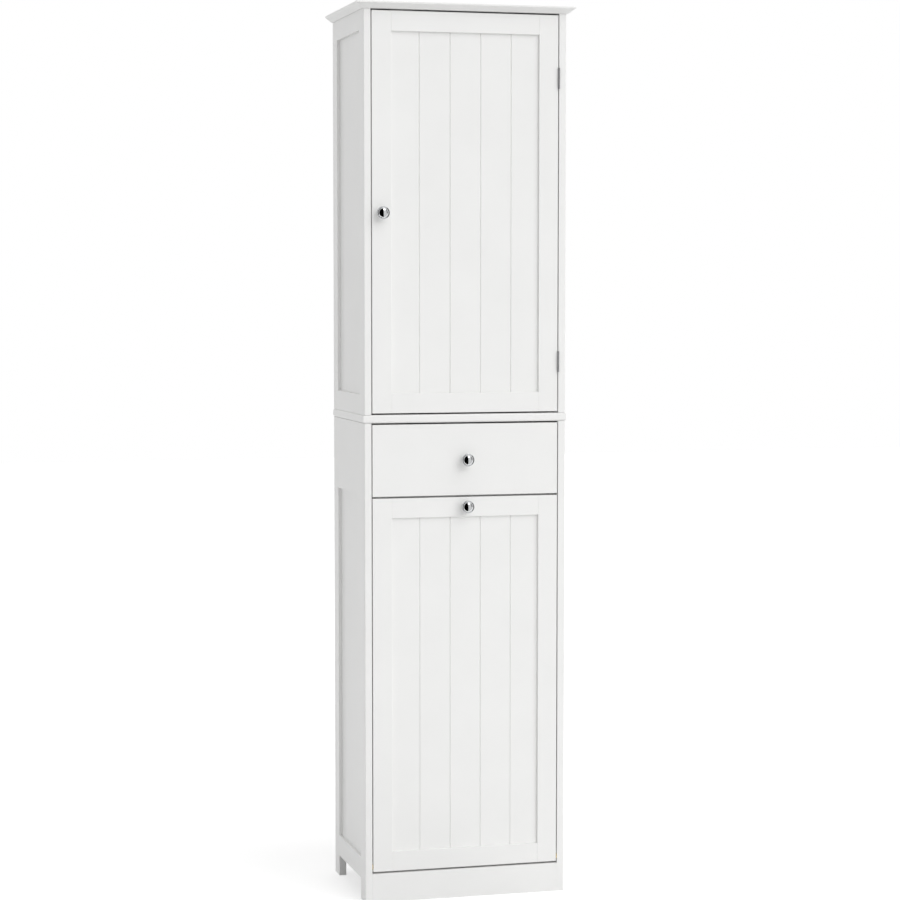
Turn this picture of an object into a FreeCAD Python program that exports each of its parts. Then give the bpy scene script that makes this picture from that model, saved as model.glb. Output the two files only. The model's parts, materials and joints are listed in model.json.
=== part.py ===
import FreeCAD, Part
import math
import os
import re

import Sketcher
from FreeCAD import Placement, Rotation, Vector

# Tall bathroom cabinet: a framed door above, a drawer and a tip-out laundry front below.
# X runs from left to right, Y from front to back and Z up.  The origin is on the floor, under the
# middle of the whole, knobs and crown included.

# Driving dimensions in millimetres.
SIZES = {
    # carcass
    "body_width": 400,
    "body_depth": 272,
    "lower_height": 926,
    "upper_height": 766,
    "side_thickness": 14,
    "frame_width": 38,
    "deep_rail": 140,
    "low_rail": 41,
    "foot_height": 41,
    "corner_round": 2,
    "edge_round": 0.5,
    "panel_recess": 6,
    "panel_thickness": 4,
    "rebate_width": 8,
    "crown_height": 12.5,
    "crown_lip": 3,
    "crown_overhang": 15,
    "crown_step": 2.5,
    "mid_thickness": 16,
    "mid_overhang": 1.5,
    "mid_reach": 1,
    "mid_round": 4,
    "plinth_height": 56,
    "plinth_thickness": 16,
    "base_thickness": 15,
    "back_thickness": 3,
    "back_inset": 5,
    "back_groove": 4,
    "divider_thickness": 15,
    "divider_depth": 45,
    "divider_drop": 1.5,
    "stop_gap": 0.5,
    # shelves and their pins
    "shelf_thickness": 12,
    "shelf_clearance": 0.5,
    "shelf_setback": 22,
    "shelf_depth": 240,
    "shelf_rise": 250,
    "pin_radius": 2.5,
    "pin_sink": 8,
    "pin_reach": 8,
    "pin_collar": 4,
    "pin_front": 26,
    "pin_rear": 252,
    "pin_pitch": 32,
    "pin_rows": 5,
    # door, drawer front and tip-out front
    "front_gap": 2,
    "front_reveal": 3,
    "lower_reveal": 3.6,
    "drawer_height": 137.5,
    "front_thickness": 16,
    "bead_recess": 5,
    "bead_thickness": 6,
    "bead_tongue": 8,
    "bead_pitch": 60.5,
    "bead_width": 3,
    "bead_depth": 1.8,
    # knobs
    "knob_reach": 25,
    "knob_radius": 13,
    "knob_half": 8,
    "knob_neck": 5.5,
    "knob_foot": 8.5,
    "knob_plate": 2,
    "knob_bore": 10,
    "knob_inset": 18,
    "bolt_radius": 2,
    "bolt_play": 0.5,
    "bolt_bite": 8,
    "bolt_head": 3.5,
    "bolt_cap": 2.5,
    # butt hinges of the door
    "hinge_low": 99,
    "hinge_high": 643,
    "hinge_length": 40,
    "hinge_leaf": 14,
    "leaf_thickness": 0.9,
    "knuckle_radius": 2,
    "knuckle_play": 0.3,
    "hinge_proud": 2.2,
    "hinge_pin": 1,
    "hinge_play": 0.05,
    "hinge_screw_rise": 12,
    "hinge_screw_back": 8,
    # countersunk wood screws
    "screw_radius": 1.5,
    "screw_length": 11,
    "screw_seat": 2.1,
    "screw_head": 3,
    "screw_sink": 0.9,
    # dowels
    "dowel_radius": 3,
    "dowel_sink": 8,
    "dowel_bite": 20,
    "dowel_front": 19,
    "dowel_rear": 253,
    # drawer box
    "box_gap": 12.5,
    "box_side": 12,
    "box_length": 220,
    "box_height": 100,
    "box_rise": 14.5,
    "box_floor": 3,
    "floor_rise": 8,
    "floor_tongue": 5,
    # drawer runners
    "runner_sheet": 1.2,
    "runner_rise": 44.5,
    "runner_front": 18,
    "runner_length": 230,
    "runner_flange": 8.8,
    "rail_length": 220,
    "roller_radius": 8,
    "roller_width": 4.8,
    "roller_play": 0.3,
    "roller_axle": 2,
    "axle_play": 0.05,
    "roller_front": 30,
    "roller_rear": 226,
    "roller_inset": 1.6,
    "lug_height": 4,
    "lug_inset": 2,
    "lug_length": 3,
    "lug_front": 45,
    "lug_rear": 234,
    # pivots and stays of the tip-out front
    "pivot_back": 6,
    "pivot_rise": 9.4,
    "pivot_radius": 3,
    "pivot_play": 0.05,
    "pivot_bite": 18,
    "pivot_collar": 6,
    "collar_play": 0.2,
    "stay_radius": 300,
    "stay_width": 14,
    "stay_sheet": 2,
    "stay_inset": 4,
    "stay_sweep": 35.5,
    "tip_angle": 30,
    "slot_play": 0.2,
    "slot_spare": 0.1,
    "stud_back": 24,
    "stud_radius": 2.5,
    "stud_head": 4.5,
    "stud_cap": 1.5,
    "stud_gap": 0.5,
    "foot_width": 16,
    "foot_length": 44,
    "foot_drop": 30,
    # wire frame and bag of the tip-out front
    "wire_radius": 2.5,
    "wire_rise": 640,
    "wire_half": 150,
    "wire_reach": 192,
    "wire_corner": 25,
    "wire_plate": 2,
    "plate_width": 16,
    "plate_height": 80,
    "plate_top": 15,
    "brace_radius": 2,
    "brace_reach": 112,
    "brace_drop": 50,
    "bag_wall": 2.5,
    "bag_base": 130,
    "bag_height": 506,
    "bag_half": 146,
    "bag_front": 20,
    "bag_depth": 184,
    # magnetic catches and strike plates
    "catch_width": 46,
    "catch_depth": 14,
    "catch_height": 14,
    "catch_ear": 10,
    "ear_height": 4,
    "catch_gap": 0.3,
    "catch_shift": 60,
    "strike_width": 30,
    "strike_height": 12,
    "strike_sheet": 1,
    # wall brackets
    "bracket_shift": 120,
    "bracket_width": 20,
    "bracket_sheet": 2,
    "bracket_leg": 30,
    "bracket_drop": 40,
    "wall_hole_drop": 28,
    "wall_hole": 2.75,
}

# Places that several pieces share.
FRONT = "((knob_reach - body_depth) / 2)"
BACK_PANEL = "(body_depth - back_inset - back_thickness)"
INNER = "(body_width / 2 - side_thickness)"
OPENING = "(body_width - 2 * side_thickness)"
MID_TOP = "(lower_height + mid_thickness)"
CROWN_UNDER = "(lower_height + mid_thickness + upper_height)"
FRONT_WIDTH = "(body_width - 2 * side_thickness - 2 * front_gap)"
FRONT_LEFT = f"(-{FRONT_WIDTH} / 2)"
FRONT_REAR = f"({FRONT} + front_thickness)"
DOOR_BOTTOM = f"({MID_TOP} + front_reveal)"
DOOR_HEIGHT = "(upper_height - 2 * front_reveal)"
DRAWER_BOTTOM = "(lower_height - front_reveal - drawer_height)"
HAMPER_BOTTOM = "(plinth_height + lower_reveal)"
HAMPER_HEIGHT = f"({DRAWER_BOTTOM} - lower_reveal - {HAMPER_BOTTOM})"
DIVIDER_UNDER = f"({DRAWER_BOTTOM} - divider_drop - divider_thickness)"
BASE_DOWELS = ("(dowel_front * 3)", "(dowel_rear - dowel_front * 2)")
DIVIDER_DOWEL = "(front_thickness + stop_gap + dowel_radius * 2)"
PIVOT_Y = f"({FRONT} + pivot_back)"
PIVOT_Z = f"({HAMPER_BOTTOM} + pivot_rise)"
STUD_RISE = "(sqrt(stay_radius ^ 2 - (stud_back - pivot_back) ^ 2))"
RUNNER_Z = f"({DRAWER_BOTTOM} + runner_rise)"
ROLLER_Z = f"({RUNNER_Z} + runner_sheet + roller_play + roller_radius)"
RAIL_TOP = f"({ROLLER_Z} + roller_radius + roller_play + runner_sheet)"
BOX_HALF = f"({INNER} - box_gap)"
HINGE_X = f"({INNER} - front_gap / 2)"
HINGE_Y = f"({FRONT} - hinge_proud)"
HINGES = [f"({MID_TOP} + {place})" for place in ("hinge_low", "hinge_high")]

UPRIGHT = Rotation()
TO_RIGHT = Rotation(Vector(0, 1, 0), 90)
TO_LEFT = Rotation(Vector(0, 1, 0), -90)
TO_BACK = Rotation(Vector(1, 0, 0), -90)
TO_FRONT = Rotation(Vector(1, 0, 0), 90)
TO_FLOOR = Rotation(Vector(1, 0, 0), 180)

doc = FreeCAD.newDocument("bathroom_cabinet")
sheet = doc.addObject("Spreadsheet::Sheet", "Sizes")
for row, (alias, number) in enumerate(SIZES.items(), start=1):
    sheet.set(f"A{row}", alias)
    sheet.set(f"B{row}", str(number))
    sheet.setAlias(f"B{row}", alias)
doc.recompute()

nodes = []


def size(alias):
    """A driving dimension as a number, read from the sheet."""
    return float(sheet.get(alias))


def linked(text):
    """An expression in which every size name points at its cell of the sheet."""
    return re.sub(r"[a-z]+(?:_[a-z]+)+", lambda name: "Sizes." + name.group(0), text)


def bind(item, **sizes):
    for name, text in sizes.items():
        item.setExpression(name, linked(text))


def place(item, at, turn=UPRIGHT):
    item.Placement = Placement(Vector(), turn)
    for axis, text in zip("xyz", at):
        item.setExpression("Placement.Base." + axis, linked(text))


def keep(label, item):
    """Name a finished sub-part, which becomes one node."""
    item.Label = label
    nodes.append(item)
    return item


# ---- sketched bodies ----


def new_body(label, at):
    body = doc.addObject("PartDesign::Body", label)
    place(body, at)
    return keep(label, body)


def new_sketch(body, plane, at):
    """A sketch on one of the body's origin planes, moved to a point of the body."""
    sketch = body.newObject("Sketcher::SketchObject", plane + "_sketch")
    support = [part for part in body.Origin.OriginFeatures if part.Role == plane + "_Plane"]
    sketch.AttachmentSupport = [(support[0], "")]
    sketch.MapMode = "FlatFace"
    x, y, z = at
    offsets = {"XY": (x, y, z), "XZ": (x, z, f"-({y})"), "YZ": (y, z, x)}[plane]
    for axis, text in zip("xyz", offsets):
        sketch.setExpression("AttachmentOffset.Base." + axis, linked(text))
    return sketch


def draw_rectangle(sketch, width, height):
    """A rectangle with its lower left corner at the sketch's origin."""
    corners = [Vector(0, 0), Vector(10, 0), Vector(10, 10), Vector(0, 10)]
    for index in range(4):
        sketch.addGeometry(Part.LineSegment(corners[index], corners[(index + 1) % 4]))
    for index in range(4):
        sketch.addConstraint(Sketcher.Constraint("Coincident", index, 2, (index + 1) % 4, 1))
    for index, direction in enumerate(("Horizontal", "Vertical", "Horizontal", "Vertical")):
        sketch.addConstraint(Sketcher.Constraint(direction, index))
    sketch.addConstraint(Sketcher.Constraint("Coincident", 0, 1, -1, 1))
    for index, text in ((0, width), (1, height)):
        number = sketch.addConstraint(Sketcher.Constraint("Distance", index, 10))
        sketch.setExpression(f"Constraints[{number}]", linked(text))


def draw_circles(sketch, radius, points):
    """Circles whose centres lie right of and above the sketch's origin."""
    for index, point in enumerate(points):
        start = Vector(20 + 20 * index, 20)
        sketch.addGeometry(Part.Circle(start, Vector(0, 0, 1), 3))
        number = sketch.addConstraint(Sketcher.Constraint("Radius", index, 3))
        sketch.setExpression(f"Constraints[{number}]", linked(radius))
        for direction, text in zip(("DistanceX", "DistanceY"), point):
            number = sketch.addConstraint(Sketcher.Constraint(direction, -1, 1, index, 3, 20))
            sketch.setExpression(f"Constraints[{number}]", linked(text))


def extrude(body, kind, sketch, length, reverse=False):
    """A Pad runs along the plane's normal and a Pocket against it, unless reversed."""
    feature = body.newObject("PartDesign::" + kind, kind)
    feature.Profile = sketch
    feature.Reversed = reverse
    bind(feature, Length=length)
    return feature


def add_block(body, plane, at, width, height, length, reverse=False):
    sketch = new_sketch(body, plane, at)
    draw_rectangle(sketch, width, height)
    return extrude(body, "Pad", sketch, length, reverse)


def cut_block(body, plane, at, width, height, length, reverse=False):
    sketch = new_sketch(body, plane, at)
    draw_rectangle(sketch, width, height)
    return extrude(body, "Pocket", sketch, length, reverse)


def drill(body, plane, at, radius, points, depth, reverse=False):
    sketch = new_sketch(body, plane, at)
    draw_circles(sketch, radius, points)
    return extrude(body, "Pocket", sketch, depth, reverse)


def board(label, at, width, depth, height):
    """A board with its left, front, lower corner at the given point."""
    body = new_body(label, at)
    add_block(body, "XY", ("0", "0", "0"), width, depth, height)
    return body


def find_edges(body, runs):
    """Names of the straight edges along an axis that lie on the named limits of the box."""
    doc.recompute()
    shape = body.Tip.Shape
    box = shape.BoundBox
    limits = {"left": ("x", box.XMin), "right": ("x", box.XMax), "front": ("y", box.YMin),
              "back": ("y", box.YMax), "bottom": ("z", box.ZMin), "top": ("z", box.ZMax)}
    names = []
    for number, edge in enumerate(shape.Edges, start=1):
        if not isinstance(edge.Curve, Part.Line):
            continue
        first, last = edge.Vertexes[0].Point, edge.Vertexes[-1].Point
        for axis, sides in runs:
            along = abs(getattr(last - first, axis)) > edge.Length - 1e-4
            near = all(abs(getattr(end, limits[side][0]) - limits[side][1]) < 1e-4
                       for side in sides for end in (first, last))
            if along and near:
                names.append(f"Edge{number}")
    return names


def dress_edges(body, kind, runs, **sizes):
    """A fillet or chamfer on the edges that lie on the named limits of the body's box."""
    names = find_edges(body, runs)
    base = body.Tip
    feature = body.newObject("PartDesign::" + kind, kind)
    feature.Base = (base, names)
    bind(feature, **sizes)


def round_face_edges(body, side, runs):
    dress_edges(body, "Fillet", [(axis, (side, other)) for axis, other in runs], Radius="edge_round")


ALL_FRONT_EDGES = [("x", "top"), ("x", "bottom"), ("z", "left"), ("z", "right")]


# ---- primitives and booleans ----


def primitive(kind, at=("0", "0", "0"), turn=UPRIGHT, **sizes):
    item = doc.addObject("Part::" + kind, kind)
    bind(item, **sizes)
    place(item, at, turn)
    return item


def block(at, length, width, height):
    return primitive("Box", at, Length=length, Width=width, Height=height)


def rod(at, turn, radius, height):
    return primitive("Cylinder", at, turn, Radius=radius, Height=height)


def fuse(parts):
    item = doc.addObject("Part::MultiFuse", "Fuse")
    item.Shapes = parts
    return item


def cut(base, tool):
    item = doc.addObject("Part::Cut", "Cut")
    item.Base = base
    item.Tool = tool
    return item


def group(label, parts):
    item = doc.addObject("Part::Compound", label)
    item.Links = parts
    return keep(label, item)


def mirror(item):
    """The same piece on the other side of the cabinet."""
    image = doc.addObject("Part::Mirroring", "Mirror")
    image.Source = item
    image.Normal = Vector(1, 0, 0)
    return image


def pair(label, item):
    return group(label, [mirror(item), item])


def screw(at, turn):
    """A wood screw: the point is the top of its head, and the turn says where the head faces."""
    shank = rod(("0", "0", "-screw_length"), UPRIGHT, "screw_radius", "screw_length")
    head = primitive("Cone", ("0", "0", "-screw_sink"), Radius1="screw_seat",
                     Radius2="screw_head", Height="screw_sink")
    item = fuse([shank, head])
    place(item, at, turn)
    return item


def with_mirrors(items):
    """Pieces on the right, followed by their mirror images on the left."""
    return items + [mirror(item) for item in items]


# ---- carcass ----


def side_frame(label, left, lower):
    """A side cut from one board, with a window for the panel and, below, a gap between the legs."""
    bottom = "0" if lower else MID_TOP
    height = "lower_height" if lower else "upper_height"
    low = "(foot_height + low_rail)" if lower else "frame_width"
    top = "deep_rail" if lower else "frame_width"
    edge = "-body_width / 2" if left else INNER
    inner = "side_thickness" if left else "0"
    window = "(body_depth - 2 * frame_width)"
    window_height = f"({height} - {low} - {top})"
    frame = new_body(label, (edge, FRONT, bottom))
    add_block(frame, "YZ", ("0", "0", "0"), "body_depth", height, "side_thickness")
    cut_block(frame, "YZ", ("side_thickness", "frame_width", low), window, window_height,
              "side_thickness")
    if lower:
        cut_block(frame, "YZ", ("side_thickness", "frame_width", "0"), window, "foot_height",
                  "side_thickness")
    outer = "left" if left else "right"
    dress_edges(frame, "Fillet", [("z", ("front", outer))], Radius="corner_round")

    def into_inner_face(radius, points, depth):
        drill(frame, "YZ", (inner, "0", "0"), radius, points, depth, reverse=not left)

    cut_block(frame, "YZ", (inner, "frame_width - rebate_width", f"{low} - rebate_width"),
              f"{window} + 2 * rebate_width", f"{window_height} + 2 * rebate_width",
              "side_thickness - panel_recess", reverse=not left)
    groove_start = "foot_height" if lower else "0"
    cut_block(frame, "YZ", (inner, BACK_PANEL, groove_start), "back_thickness",
              f"{height} - {groove_start}", "back_groove", reverse=not left)
    upright = [("side_thickness / 2", place_y) for place_y in ("dowel_front", "dowel_rear")]
    drill(frame, "XY", ("0", "0", height), "dowel_radius", upright, "dowel_sink")
    if lower:
        seats = [(place_y, "foot_height + base_thickness / 2") for place_y in BASE_DOWELS]
        seats.append(("plinth_thickness / 2", "plinth_height / 2"))
        seats.append((DIVIDER_DOWEL, f"{DIVIDER_UNDER} + divider_thickness / 2"))
        into_inner_face("dowel_radius", seats, "dowel_sink")
        into_inner_face("pivot_radius", [("pivot_back", PIVOT_Z)], "dowel_sink")
        into_inner_face("screw_radius", [("stud_back", f"{PIVOT_Z} + {STUD_RISE}")], "pin_sink")
        into_inner_face("screw_radius", runner_seats(), "screw_length - runner_sheet")
    else:
        drill(frame, "XY", ("0", "0", "0"), "dowel_radius", upright, "dowel_sink", reverse=True)
        for shelf in ("1", "2"):
            into_inner_face("pin_radius", [(column, pin_height(shelf, step))
                                           for column in ("pin_front", "pin_rear")
                                           for step in range(int(size("pin_rows")))], "pin_sink")
        if not left:
            seats = [("hinge_screw_back", f"{place_z} + {sign}hinge_screw_rise")
                     for place_z in ("hinge_low", "hinge_high") for sign in ("", "-")]
            into_inner_face("screw_radius", seats, "screw_length - leaf_thickness")
    return frame


def pin_height(shelf, step):
    """Height of a pin hole above the mid board: the middle hole of five carries the shelf."""
    middle = (int(size("pin_rows")) - 1) // 2
    return f"shelf_rise * {shelf} - pin_radius + pin_pitch * ({step - middle})"


def runner_seats():
    """Screw seats of a runner channel, as depth from the front and height above the floor."""
    return [(f"runner_front + runner_length * {share}", f"{RUNNER_Z} + roller_radius")
            for share in ("0.25", "0.75")]


def rail_seats():
    """Screw seats of a drawer rail, as distance behind the drawer front and height above the floor."""
    return [(f"rail_length * {share}", f"{RUNNER_Z} + roller_radius") for share in ("0.2", "0.7")]


def side_panel(label, left, lower):
    low = "(foot_height + low_rail)" if lower else "frame_width"
    top = "deep_rail" if lower else "frame_width"
    height = "lower_height" if lower else "upper_height"
    bottom = "0" if lower else MID_TOP
    outer = "body_width / 2 - panel_recess"
    edge = f"-({outer})" if left else f"{outer} - panel_thickness"
    board(label, (edge, f"{FRONT} + frame_width - rebate_width", f"{bottom} + {low} - rebate_width"),
          "panel_thickness", "body_depth - 2 * frame_width + 2 * rebate_width",
          f"{height} - {low} - {top} + 2 * rebate_width")


def make_sides():
    for side, left in (("left", True), ("right", False)):
        for level, lower in (("lower", True), ("upper", False)):
            side_frame(f"{side}_{level}_frame", left, lower)
            side_panel(f"{side}_{level}_panel", left, lower)


def crown():
    """Top board: a thin lip above a wide bevel that runs in to the body on three sides."""
    body = new_body("crown_board", ("-body_width / 2 - crown_overhang", f"{FRONT} - crown_overhang",
                                    CROWN_UNDER))
    width, depth = "(body_width + 2 * crown_overhang)", "(body_depth + crown_overhang)"
    inset = "(crown_overhang - crown_step)"
    under = new_sketch(body, "XY", (inset, inset, "0"))
    draw_rectangle(under, f"{width} - 2 * {inset}", f"{depth} - {inset}")
    over = new_sketch(body, "XY", ("0", "0", "crown_height - crown_lip"))
    draw_rectangle(over, width, depth)
    bevel = body.newObject("PartDesign::AdditiveLoft", "Bevel")
    bevel.Profile = under
    bevel.Sections = [over]
    add_block(body, "XY", ("0", "0", "crown_height - crown_lip"), width, depth, "crown_lip")
    round_face_edges(body, "top", [("x", "front"), ("y", "left"), ("y", "right")])
    upright = [(f"crown_overhang + {place_x}", f"crown_overhang + {place_y}")
               for place_x in ("side_thickness / 2", "body_width - side_thickness / 2")
               for place_y in ("dowel_front", "dowel_rear")]
    drill(body, "XY", ("0", "0", "0"), "dowel_radius", upright, "dowel_sink", reverse=True)
    middle = "body_width / 2 + crown_overhang"
    screws = [(f"{middle} + {sign}bracket_shift",
               f"crown_overhang + {BACK_PANEL} - bracket_leg * 2 / 3") for sign in ("", "-")]
    drill(body, "XY", ("0", "0", "0"), "screw_radius", screws, "screw_length - bracket_sheet",
          reverse=True)
    ears = [(f"{middle} - bracket_shift + {sign}(catch_width - catch_ear) / 2",
             "crown_overhang + front_thickness + strike_sheet + catch_gap + catch_depth / 2")
            for sign in ("", "-")]
    drill(body, "XY", ("0", "0", "0"), "screw_radius", ears, "screw_length - ear_height",
          reverse=True)


def mid_board():
    body = board("mid_board", ("-body_width / 2 - mid_overhang", f"{FRONT} - mid_reach",
                               "lower_height"),
                 "body_width + 2 * mid_overhang", "body_depth + mid_reach", "mid_thickness")
    runs = [("x", ("front", level)) for level in ("top", "bottom")]
    runs += [("y", (side, level)) for side in ("left", "right") for level in ("top", "bottom")]
    dress_edges(body, "Fillet", runs, Radius="mid_round")
    upright = [(f"mid_overhang + {place_x}", f"mid_reach + {place_y}")
               for place_x in ("side_thickness / 2", "body_width - side_thickness / 2")
               for place_y in ("dowel_front", "dowel_rear")]
    drill(body, "XY", ("0", "0", "mid_thickness"), "dowel_radius", upright, "mid_thickness")


def drill_ends(body, seats):
    """Dowel holes in both ends of a board that fits between the sides, as depth and height."""
    drill(body, "YZ", ("0", "0", "0"), "dowel_radius", seats, "dowel_bite", reverse=True)
    drill(body, "YZ", (OPENING, "0", "0"), "dowel_radius", seats, "dowel_bite")


def inner_boards():
    base = board("base_board", (f"-{INNER}", f"{FRONT} + plinth_thickness", "foot_height"), OPENING,
                 f"{BACK_PANEL} - plinth_thickness", "base_thickness")
    drill_ends(base, [(f"{place_y} - plinth_thickness", "base_thickness / 2")
                      for place_y in BASE_DOWELS])
    plinth = board("plinth_board", (f"-{INNER}", FRONT, "0"), OPENING, "plinth_thickness",
                   "plinth_height")
    round_face_edges(plinth, "front", [("x", "top"), ("z", "left"), ("z", "right")])
    drill_ends(plinth, [("plinth_thickness / 2", "plinth_height / 2")])
    divider = board("divider_rail", (f"-{INNER}", f"{FRONT_REAR} + stop_gap", DIVIDER_UNDER), OPENING,
                    "divider_depth", "divider_thickness")
    drill_ends(divider, [(f"{DIVIDER_DOWEL} - front_thickness - stop_gap",
                          "divider_thickness / 2")])
    ears = [(f"{OPENING} / 2 + catch_shift + {sign}(catch_width - catch_ear) / 2",
             "strike_sheet + catch_gap - stop_gap + catch_depth / 2") for sign in ("", "-")]
    drill(divider, "XY", ("0", "0", "0"), "screw_radius", ears, "screw_length - ear_height",
          reverse=True)


def back_panels():
    back = f"{FRONT} + {BACK_PANEL}"
    width = f"({OPENING} + 2 * back_groove)"
    edge = f"-{INNER} - back_groove"
    board("lower_back_panel", (edge, back, "foot_height"), width, "back_thickness",
          "lower_height - foot_height")
    upper = board("upper_back_panel", (edge, back, MID_TOP), width, "back_thickness", "upper_height")
    holes = [(f"{width} / 2 + {sign}bracket_shift", "upper_height - wall_hole_drop")
             for sign in ("", "-")]
    drill(upper, "XZ", ("0", "0", "0"), "wall_hole", holes, "back_thickness")


def shelves():
    for label, shelf in (("lower_shelf", "1"), ("upper_shelf", "2")):
        item = board(label, (f"-{INNER} + shelf_clearance", f"{FRONT} + shelf_setback",
                             f"{MID_TOP} + shelf_rise * {shelf}"),
                     f"{OPENING} - 2 * shelf_clearance", "shelf_depth", "shelf_thickness")
        round_face_edges(item, "front", [("x", "top"), ("x", "bottom")])
    pins = []
    for shelf in ("1", "2"):
        for column in ("pin_front", "pin_rear"):
            at = (f"{INNER} - pin_reach", f"{FRONT} + {column}",
                  f"{MID_TOP} + shelf_rise * {shelf} - pin_radius")
            collar_at = (f"{INNER} - shelf_clearance / 2", at[1], at[2])
            pin = rod(at, TO_RIGHT, "pin_radius", "pin_reach + pin_sink")
            collar = rod(collar_at, TO_RIGHT, "pin_collar", "shelf_clearance / 2")
            item = fuse([pin, collar])
            pins += [item, mirror(item)]
    group("shelf_pins", pins)


def dowels():
    """Upright dowels join the sides with the boards above and below, level ones the boards between."""
    items = []
    for column in ("dowel_front", "dowel_rear"):
        for foot, length in (("lower_height - dowel_sink", "mid_thickness + 2 * dowel_sink"),
                             (f"{CROWN_UNDER} - dowel_sink", "2 * dowel_sink")):
            at = ("body_width / 2 - side_thickness / 2", f"{FRONT} + {column}", foot)
            items.append(rod(at, UPRIGHT, "dowel_radius", length))
    level = [(place_y, "foot_height + base_thickness / 2") for place_y in BASE_DOWELS]
    level.append(("plinth_thickness / 2", "plinth_height / 2"))
    level.append((DIVIDER_DOWEL, f"{DIVIDER_UNDER} + divider_thickness / 2"))
    for place_y, place_z in level:
        items.append(rod((f"{INNER} - dowel_bite", f"{FRONT} + {place_y}", place_z), TO_RIGHT,
                         "dowel_radius", "dowel_bite + dowel_sink"))
    group("carcass_dowels", with_mirrors(items))


# ---- door, drawer front and tip-out front ----


def framed_front(name, bottom, height, knob_x, knob_z, knob_on):
    """Two stiles, two rails with stub tenons and a grooved panel held in the groove round them."""
    stiles = {}
    for side, edge in (("left", FRONT_LEFT), ("right", f"{FRONT_LEFT} + {FRONT_WIDTH} - frame_width")):
        stile = board(f"{name}_{side}_stile", (edge, FRONT, bottom), "frame_width",
                      "front_thickness", height)
        groove_x = "frame_width" if side == "left" else "0"
        cut_block(stile, "YZ", (groove_x, "bead_recess", "0"), "bead_thickness", height, "bead_tongue",
                  reverse=side == "right")
        round_face_edges(stile, "front", ALL_FRONT_EDGES)
        stiles[side] = stile
    width = f"({FRONT_WIDTH} - 2 * frame_width)"
    rails = {}
    for side, rise in (("bottom", "0"), ("top", f"{height} - frame_width")):
        rail = board(f"{name}_{side}_rail", (f"{FRONT_LEFT} + frame_width", FRONT,
                                             f"{bottom} + {rise}"),
                     width, "front_thickness", "frame_width")
        round_face_edges(rail, "front", ALL_FRONT_EDGES)
        add_block(rail, "XY", ("-bead_tongue", "bead_recess", "0"), f"{width} + 2 * bead_tongue",
                  "bead_thickness", "frame_width")
        groove_z = "frame_width" if side == "bottom" else "0"
        cut_block(rail, "XY", ("-bead_tongue", "bead_recess", groove_z),
                  f"{width} + 2 * bead_tongue", "bead_thickness", "bead_tongue",
                  reverse=side == "top")
        rails[side] = rail
    panel = board(f"{name}_bead_panel", (f"{FRONT_LEFT} + frame_width - bead_tongue",
                                         f"{FRONT} + bead_recess",
                                         f"{bottom} + frame_width - bead_tongue"),
                  f"{width} + 2 * bead_tongue", "bead_thickness",
                  f"{height} - 2 * frame_width + 2 * bead_tongue")
    bead_grooves(panel, f"({width} / 2 + bead_tongue - 1.5 * bead_pitch - bead_width / 2)",
                 f"{height} - 2 * frame_width + 2 * bead_tongue")
    carrier = stiles["left"] if knob_on == "stile" else rails["top"]
    base_x = FRONT_LEFT if knob_on == "stile" else f"({FRONT_LEFT} + frame_width)"
    base_z = bottom if knob_on == "stile" else f"({bottom} + {height} - frame_width)"
    drill(carrier, "XZ", ("0", "0", "0"), "bolt_radius + bolt_play",
          [(f"{knob_x} - {base_x}", f"{knob_z} - {base_z}")], "front_thickness")
    return stiles, rails


def bead_grooves(panel, start, height):
    """Four V grooves that run the whole height of the panel's front."""
    sketch = new_sketch(panel, "XY", (start, "0", "0"))
    points = [Vector(0, 0), Vector(3, 0), Vector(1.5, 1.5)]
    for index in range(3):
        sketch.addGeometry(Part.LineSegment(points[index], points[(index + 1) % 3]))
    for index in range(3):
        sketch.addConstraint(Sketcher.Constraint("Coincident", index, 2, (index + 1) % 3, 1))
    sketch.addConstraint(Sketcher.Constraint("Coincident", 0, 1, -1, 1))
    sketch.addConstraint(Sketcher.Constraint("Horizontal", 0))
    for constraint, text in ((Sketcher.Constraint("Distance", 0, 3), "bead_width"),
                             (Sketcher.Constraint("DistanceX", 0, 1, 1, 2, 1.5), "bead_width / 2"),
                             (Sketcher.Constraint("DistanceY", 0, 1, 1, 2, 1.5), "bead_depth")):
        number = sketch.addConstraint(constraint)
        sketch.setExpression(f"Constraints[{number}]", linked(text))
    groove = extrude(panel, "Pocket", sketch, height, reverse=True)
    pattern = panel.newObject("PartDesign::LinearPattern", "Grooves")
    pattern.Originals = [groove]
    pattern.Direction = (sketch, ["H_Axis"])
    pattern.Occurrences = 4
    bind(pattern, Length="3 * bead_pitch")
    panel.Tip = pattern


def knob(name, knob_x, knob_z):
    """A round knob on a neck and a foot plate; returns the bolt that holds it from behind."""
    foot = rod(("0", "0", "0"), UPRIGHT, "knob_foot", "knob_plate")
    neck = primitive("Cone", Radius1="knob_neck + knob_plate / 2", Radius2="knob_neck",
                     Height="knob_reach - knob_half * 1.5")
    head = primitive("Ellipsoid", ("0", "0", "knob_reach - knob_half"), Radius1="knob_half",
                     Radius2="knob_radius")
    item = cut(fuse([foot, neck, head]), rod(("0", "0", "0"), UPRIGHT, "bolt_radius", "knob_bore"))
    place(item, (knob_x, FRONT, knob_z), TO_FRONT)
    keep(f"{name}_knob", item)
    shank = rod(("0", "0", "0"), UPRIGHT, "bolt_radius", "front_thickness + bolt_bite")
    cap = rod(("0", "0", "-bolt_cap"), UPRIGHT, "bolt_head", "bolt_cap")
    bolt = fuse([shank, cap])
    place(bolt, (knob_x, FRONT_REAR, knob_z), TO_FRONT)
    return bolt


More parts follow.
